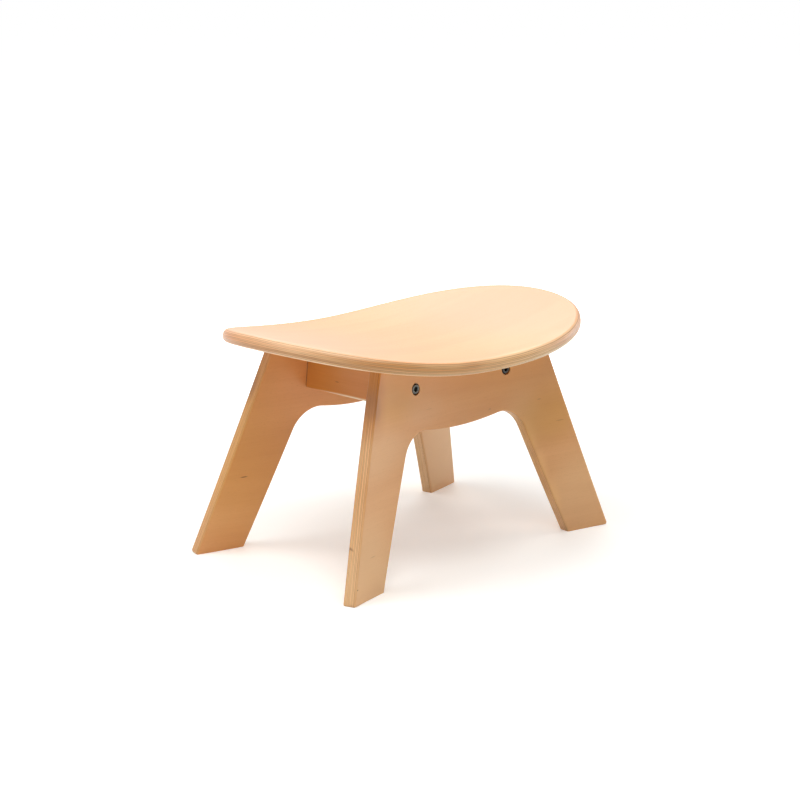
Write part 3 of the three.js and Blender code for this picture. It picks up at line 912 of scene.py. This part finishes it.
class STOOL_OT_side_panels(bpy.types.Operator):
    """Makes the two side panels."""

    bl_idname = "stool.side_panels"
    bl_label = "Side panels"

    def execute(self, context):
        boards, fittings = context.scene.stool_boards, context.scene.stool_fittings
        wood = plywood(context, "panel", 2, boards.panel_thickness)
        for side, way in SIDES.items():
            tools = []
            for end in ENDS:
                tools += bolt_holes(boards, fittings, f"{end}_back", 1)
                tools += dowel_holes(boards, fittings, f"{end}_back")
            bm = panel_board(boards, tools)
            if way < 0:
                half_turn(bm)
            place_piece(f"{side}_panel_board", f"side_panel_{side}", bm, wood)
        return {"FINISHED"}


class STOOL_OT_rails(bpy.types.Operator):
    """Makes the two cross rails."""

    bl_idname = "stool.rails"
    bl_label = "Cross rails"

    def execute(self, context):
        wood = solid_beech(context)
        for end, way in ENDS.items():
            bm = rail_bar(context.scene.stool_boards, context.scene.stool_fittings)
            if way < 0:
                half_turn(bm)
            place_piece(f"{end}_rail_bar", f"cross_rail_{end}", bm, wood)
        return {"FINISHED"}


class STOOL_OT_bolts(bpy.types.Operator):
    """Makes the four socket head bolts."""

    bl_idname = "stool.bolts"
    bl_label = "Bolts"

    def execute(self, context):
        steel = plated_steel(context, "bolt")
        for joint, (_, side) in JOINTS.items():
            node = f"bolt_{joint}"
            bm = stand(socket_bolt(context.scene.stool_fittings), node, (0, side, 0))
            place_piece(f"{joint}_socket_bolt", node, bm, steel)
        return {"FINISHED"}


class STOOL_OT_nuts(bpy.types.Operator):
    """Makes the four barrel nuts."""

    bl_idname = "stool.nuts"
    bl_label = "Barrel nuts"

    def execute(self, context):
        steel = plated_steel(context, "nut")
        for joint, (end, _) in JOINTS.items():
            node = f"barrel_nut_{joint}"
            bm = stand(barrel_nut(context.scene.stool_fittings), node, (-end, 0, 0))
            place_piece(f"{joint}_nut", node, bm, steel)
        return {"FINISHED"}


class STOOL_OT_dowels(bpy.types.Operator):
    """Makes the eight dowels."""

    bl_idname = "stool.dowels"
    bl_label = "Dowels"

    def execute(self, context):
        wood = dowel_wood(context)
        for joint in JOINTS:
            for level in LEVELS:
                node = f"dowel_{joint}_{level}"
                bm = stand(fluted_dowel(context.scene.stool_fittings), node, (0, 1, 0))
                place_piece(f"{joint}_{level}_pin", node, bm, wood)
        return {"FINISHED"}


class STOOL_OT_screws(bpy.types.Operator):
    """Makes the four seat screws."""

    bl_idname = "stool.screws"
    bl_label = "Seat screws"

    def execute(self, context):
        steel = plated_steel(context, "screw")
        for joint in JOINTS:
            node = f"seat_screw_{joint}"
            bm = stand(seat_screw(context.scene.stool_fittings), node, (0, 0, -1))
            place_piece(f"{joint}_screw", node, bm, steel)
        return {"FINISHED"}


# Materials


def is_socket(value):
    """Whether a value comes out of a node."""
    return isinstance(value, bpy.types.NodeSocket)


def fill(node, inputs):
    """Sets or links the inputs of a node."""
    for socket, value in inputs.items():
        if is_socket(value):
            node.id_data.links.new(value, node.inputs[socket])
        else:
            node.inputs[socket].default_value = value


def new_node(kind, inputs, tree=None, **settings):
    """Adds a node to a tree, or else to the tree of its inputs, and returns the node's outputs."""
    tree = tree or next(value.id_data for value in inputs.values() if is_socket(value))
    made = tree.nodes.new(f"ShaderNode{kind}")
    for name, value in settings.items():
        setattr(made, name, value)
    fill(made, inputs)
    return made.outputs


def maths(operation, *values, clamp=False):
    """The result of one step of arithmetic."""
    return new_node("Math", dict(enumerate(values)), operation=operation, use_clamp=clamp)[0]


def times(first, second):
    """The product of two numbers."""
    return maths("MULTIPLY", first, second)


def apart(first, second):
    """How far apart two numbers are."""
    return maths("ABSOLUTE", maths("SUBTRACT", first, second))


def within(value, low, high):
    """A number that is kept within limits."""
    return maths("MINIMUM", maths("MAXIMUM", value, low), high)


def between(share, low, high):
    """A number between two others."""
    return new_node("Mix", {0: share, 2: low, 3: high}, data_type="FLOAT")[0]


def as_colour(value):
    """A colour that a socket takes, from a setting or from another socket."""
    return value if is_socket(value) else (*value, 1)


def blend(share, low, high):
    """A colour between two others."""
    inputs = {0: share, 6: as_colour(low), 7: as_colour(high)}
    return new_node("Mix", inputs, data_type="RGBA")[2]


def ramp(value, low, high, bottom=0, top=1):
    """Bottom below one number, top above another, and smooth between them."""
    inputs = {"Value": value, "From Min": low, "From Max": high, "To Min": bottom, "To Max": top}
    return new_node("MapRange", inputs, interpolation_type="SMOOTHSTEP")[0]


def vector_maths(operation, *vectors):
    """One step of arithmetic with vectors."""
    return new_node("VectorMath", dict(enumerate(vectors)), operation=operation)


def stretched(place, factors):
    """A place with each of its three directions scaled."""
    return vector_maths("MULTIPLY", place, factors)["Vector"]


def noise(place, kind):
    """Smooth noise of a kind."""
    marks, detail, roughness = NOISES[kind]
    inputs = {
        "Vector": stretched(place, marks), "Scale": 1.0, "Detail": detail, "Roughness": roughness,
    }
    return new_node("TexNoise", inputs, normalize=True)[0]


def join(x, y, z):
    """A vector from three numbers."""
    return new_node("CombineXYZ", {0: x, 1: y, 2: z})[0]


def split(vector):
    """The three numbers of a vector."""
    return new_node("SeparateXYZ", {0: vector})


def coordinates(tree, kind):
    """Where a spot lies in its object, or which way the surface faces there."""
    return new_node("TexCoord", {}, tree)[kind]


def new_material(name):
    """A material and its node tree."""
    material = bpy.data.materials.new(name)
    material.use_nodes = True
    return material, material.node_tree


def shade(colour, roughness, height, depth, metallic=0.0):
    """Gives a material its colour, its roughness and a slight relief."""
    bump = {"Strength": 1.0, "Distance": depth, "Height": height}
    fill(colour.id_data.nodes["Principled BSDF"], {
        "Base Color": colour, "Roughness": roughness, "Metallic": metallic,
        "Normal": new_node("Bump", bump)[0],
    })


def lacquer(finish, wood, rays, dents):
    """Gives a material lacquered wood, which is duller on the rays and dips at the dents."""
    gloss = between(rays, finish.lacquer, finish.lacquer + finish.ray_dullness)
    shade(wood, gloss, times(dents, -1.0), finish.pore_depth)


def beech(finish, place, light, dark):
    """Beech, and where its rays are, at a place whose first direction runs along the grain."""
    figure = ramp(noise(place, "figure"), 0.3, 0.7)
    streaks = noise(place, "streaks")
    tone = maths("MULTIPLY_ADD", streaks, 0.7, times(figure, 0.6))
    wood = blend(maths("SUBTRACT", tone, 0.2, clamp=True), light, dark)
    rays = ramp(noise(place, "rays"), 0.63, 0.75)
    return blend(times(rays, 0.35), wood, finish.fleck), rays


def toned(wood, finish, depth, kind):
    """Wood with the own tone of each ply, on the edges and the faces."""
    share = new_node("ValToRGB", {0: maths("DIVIDE", depth, PLIES)})[0]
    stops = share.node.color_ramp
    stops.interpolation = "CONSTANT"
    for ply, tone in enumerate(PLY_TONES[kind]):
        stop = stops.elements[0] if ply == 0 else stops.elements.new(ply / PLIES)
        stop.color = (tone, tone, tone, 1)
    stops.elements.remove(stops.elements[-1])
    tone = maths("MULTIPLY_ADD", share, 2.0, -1.0)
    wood = blend(maths("MAXIMUM", tone, 0.0), wood, finish.pale)
    return blend(maths("MAXIMUM", times(tone, -1.0), 0.0), wood, finish.brown)


def patched(wood, finish, patches, place=None):
    """A finish with areas of other colours in it, mostly painted light and shade, at places in the
    stool or in a flat board.
    """
    place = place or coordinates(wood.id_data, "Object")
    for middle, reaches, colour, strength in patches:
        off = vector_maths("SUBTRACT", place, middle)["Vector"]
        near = stretched(off, [1 / reach for reach in reaches])
        share = ramp(vector_maths("LENGTH", near)["Value"], 0.3, 1.3, strength, 0)
        wood = blend(share, wood, getattr(finish, colour))
    return wood


def ply_depth(board, thickness):
    """How many plies deep a place lies in its board. The joints between the plies wander a bit."""
    wander = between(noise(board, "wandering joints"), -0.35, 0.35)
    level = maths("MULTIPLY_ADD", split(board)[2], PLIES / thickness, PLIES / 2)
    return within(maths("ADD", wander, level), 0.001, PLIES - 0.001)


def end_grained(wood, finish, place, crossed, across):
    """Wood with the colour of end grain where the grain of a ply runs out of the surface."""
    normal = split(coordinates(wood.id_data, "Normal"))
    grain_out = between(crossed, normal[0], normal[across])
    ends = ramp(maths("ABSOLUTE", grain_out), 0.35, 0.85)
    pores = between(noise(place, "pores"), 0.6, 1.0)
    return blend(times(ends, pores), wood, finish.end_grain)


def glued(wood, finish, board, depth):
    """Wood with the joints of its plies, most of which fade here and there, and where they are."""
    s, q, _ = split(board)
    joint = within(maths("ROUND", depth), 1.0, PLIES - 1)
    seam = ramp(apart(depth, joint), 0.05, 0.16, 1, 0)
    fading = ramp(noise(join(s, q, joint), "fading glue"), 0.35, 0.65)
    veneer = maths("GREATER_THAN", apart(joint, PLIES / 2), PLIES / 2 - 1.5)
    clear = maths("MAXIMUM", veneer, between(fading, 0.35, 1.0))
    return blend(times(seam, clear), wood, finish.glue), seam


def plywood(context, kind, across, thickness):
    """Lacquered beech plywood. Across is the axis that the grain of every second ply follows."""
    finish = context.scene.stool_finish
    material, tree = new_material(f"{kind}_plywood")
    board = new_node("Attribute", {}, tree, attribute_name=BOARD)["Vector"]
    s, q, h = split(board)
    depth = ply_depth(board, thickness)
    ply = maths("FLOOR", depth)
    crossed = maths("MODULO", ply, 2.0)
    along, side = between(crossed, s, q), between(crossed, q, s)
    place = join(along, side, maths("MULTIPLY_ADD", ply, 0.37, h))
    wood, rays = beech(finish, place, finish.face_light, finish.face_dark)
    wood = end_grained(wood, finish, place, crossed, across)
    inner = ramp(apart(depth, PLIES / 2), PLIES / 2 - 0.95, PLIES / 2 - 1.05)
    own = ramp(noise(join(s, q, ply), "uneven plies"), 0.35, 0.65, top=0.4)
    wood = blend(times(inner, own), wood, finish.end_grain)
    wood = toned(wood, finish, depth, kind)
    # Painted light and shade in broad areas and in single plies, and small flaws
    wood = patched(wood, finish, PATCHES[kind])
    wood = patched(wood, finish, STREAKS.get(kind, ()), board)
    wood, seam = glued(wood, finish, board, depth)
    lacquer(finish, wood, rays, maths("ADD", rays, seam))
    return material


def along_rail(tree):
    """A place whose first direction runs along the rails and dowels."""
    x, y, z = split(coordinates(tree, "Object"))
    return join(y, z, x)


def solid_beech(context):
    """Lacquered solid beech, with its grain along the rail and glue at its ends."""
    finish, boards = context.scene.stool_finish, context.scene.stool_boards
    material, tree = new_material("rail_beech")
    wood, rays = beech(finish, along_rail(tree), finish.rail_light, finish.rail_dark)
    outer_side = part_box("cross_rail_right")[1].x
    _, y, z = split(coordinates(tree, "Object"))
    lean = tan(boards.panel_lean)
    upright = maths("MULTIPLY_ADD", z, lean, maths("ABSOLUTE", y))
    to_end = maths("SUBTRACT", panel_inner_face(boards, outer_side, 0), upright)
    wood = blend(ramp(to_end, 0.0007, 0.0018, 0.9, 0), wood, finish.glue)
    # Painted highlight on the left rail's lower edge, and a small flaw
    lacquer(finish, patched(wood, finish, PATCHES["rail"]), rays, rays)
    return material


def dowel_wood(context):
    """Raw beech, with its grain along the dowel."""
    finish = context.scene.stool_finish
    material, tree = new_material("dowel_beech_raw")
    dark = [share * 0.75 for share in finish.dowel_light]
    wood, rays = beech(finish, along_rail(tree), finish.dowel_light, dark)
    shade(wood, finish.raw_wood, times(rays, -1.0), 2 * finish.pore_depth)
    return material


def plated_steel(context, kind):
    """Zinc-plated steel, a little uneven, with paler scratches, and on one bolt painted shade."""
    finish = context.scene.stool_finish
    colour, roughness = PLATING[kind]
    plating = getattr(finish, colour)
    worn = [min(1.0, 1.6 * share) for share in plating]
    dull = [0.7 * share for share in plating]
    material, tree = new_material(f"{kind}_zinc")
    place = coordinates(tree, "Object")
    clouds = noise(place, "clouds")
    steel = blend(ramp(clouds, 0.35, 0.65), dull, plating)
    scratches = ramp(noise(place, "scratches"), 0.62, 0.72, top=0.5)
    steel = patched(blend(scratches, steel, worn), finish, PATCHES.get(kind, ()))
    gloss = between(clouds, roughness - 0.1, roughness + 0.1)
    shade(steel, gloss, clouds, finish.pore_depth / 2, 1.0)
    return material


# Stage


class STOOL_OT_stage(bpy.types.Operator):
    """Makes the floor, the lamps and the camera."""

    bl_idname = "stool.stage"
    bl_label = "Stage"

    def execute(self, context):
        stage = context.scene.stool_stage
        make_floor(stage)
        make_lamps(context, stage)
        make_camera(context, stage)
        context.scene.view_settings.view_transform = "Standard"
        return {"FINISHED"}


def make_camera(context, stage):
    """A camera at the picture's own viewing angle."""
    back = Vector((
        sin(stage.azimuth) * cos(stage.elevation),
        -cos(stage.azimuth) * cos(stage.elevation),
        sin(stage.elevation),
    ))
    data = bpy.data.cameras.new("camera")
    data.lens = stage.lens
    data.sensor_width = 36
    data.clip_start = 0.01
    camera = new_object("camera", data)
    place = Vector(stage.aim) + back * stage.distance
    camera.matrix_world = facing(place, back) @ Matrix.Rotation(stage.roll, 4, "Z")
    context.scene.camera = camera


def seen_directly(tree):
    """One for what the camera, a gloss or a glass sees, and zero for light that falls on things."""
    path = new_node("LightPath", {}, tree)
    gloss_or_glass = maths("MAXIMUM", path["Is Glossy Ray"], path["Is Transmission Ray"])
    return maths("MAXIMUM", path["Is Camera Ray"], gloss_or_glass)


def make_floor(stage):
    """A pale floor that keeps the stool's shadow and fades to white away from it."""
    bm = bmesh.new()
    bmesh.ops.create_grid(bm, x_segments=1, y_segments=1, size=30)
    floor = mesh_object("floor", bm)
    bm.free()
    material, tree = new_material("floor_paint")
    tree.nodes.clear()
    away = vector_maths("LENGTH", coordinates(tree, "Object"))["Value"]
    lift = ramp(away, stage.floor_fade, stage.floor_white, stage.floor_lift, 1)
    paint = new_node("BsdfDiffuse", {"Color": as_colour(stage.floor_tint)}, tree)[0]
    glow = new_node("Emission", {"Strength": times(lift, seen_directly(tree))})[0]
    both = new_node("AddShader", {0: paint, 1: glow})[0]
    new_node("OutputMaterial", {"Surface": both})
    floor.data.materials.append(material)


def make_lamps(context, stage):
    """Surroundings that look white but give no light, and large soft lamps round the stool."""
    world = bpy.data.worlds.new("sky")
    world.use_nodes = True
    tree = world.node_tree
    white = {"Color": (1, 1, 1, 1), "Strength": seen_directly(tree)}
    fill(tree.nodes["Background"], white)
    context.scene.world = world
    for name, (place, size, power) in LAMPS.items():
        data = bpy.data.lights.new(name, "AREA")
        data.energy = power * stage.light
        data.size = size
        place = Vector(place)
        new_object(name, data).matrix_world = facing(place, place - Vector(stage.aim))


class STOOL_PT_stool(bpy.types.Panel):
    """Lists the pieces of the stool."""

    bl_label = "Stool"
    bl_idname = "STOOL_PT_stool"
    bl_space_type = "VIEW_3D"
    bl_region_type = "UI"
    bl_category = "Stool"

    def draw(self, context):
        for operator in OPERATORS:
            self.layout.operator(operator.bl_idname)
        for name, group in GROUPS.items():
            box = self.layout.box()
            for setting in group.__annotations__:
                box.prop(getattr(context.scene, name), setting)


OPERATORS = (
    STOOL_OT_seat, STOOL_OT_side_panels, STOOL_OT_rails, STOOL_OT_bolts, STOOL_OT_nuts,
    STOOL_OT_dowels, STOOL_OT_screws, STOOL_OT_stage,
)
GROUPS = {
    "stool_boards": StoolBoardSizes,
    "stool_fittings": StoolFittingSizes,
    "stool_finish": StoolFinish,
    "stool_stage": StoolStage,
}
CLASSES = (*GROUPS.values(), *OPERATORS, STOOL_PT_stool)


def register():
    """Adds the classes and the scene's settings."""
    for cls in CLASSES:
        bpy.utils.register_class(cls)
    for name, group in GROUPS.items():
        setattr(bpy.types.Scene, name, PointerProperty(type=group))


def unregister():
    """Takes the classes and the scene's settings away."""
    for name in GROUPS:
        delattr(bpy.types.Scene, name)
    for cls in reversed(CLASSES):
        bpy.utils.unregister_class(cls)


def main():
    """Makes the whole stool and its stage."""
    register()
    bpy.ops.stool.seat()
    bpy.ops.stool.side_panels()
    bpy.ops.stool.rails()
    bpy.ops.stool.bolts()
    bpy.ops.stool.nuts()
    bpy.ops.stool.dowels()
    bpy.ops.stool.screws()
    bpy.ops.stool.stage()


if __name__ == "__main__":
    main()
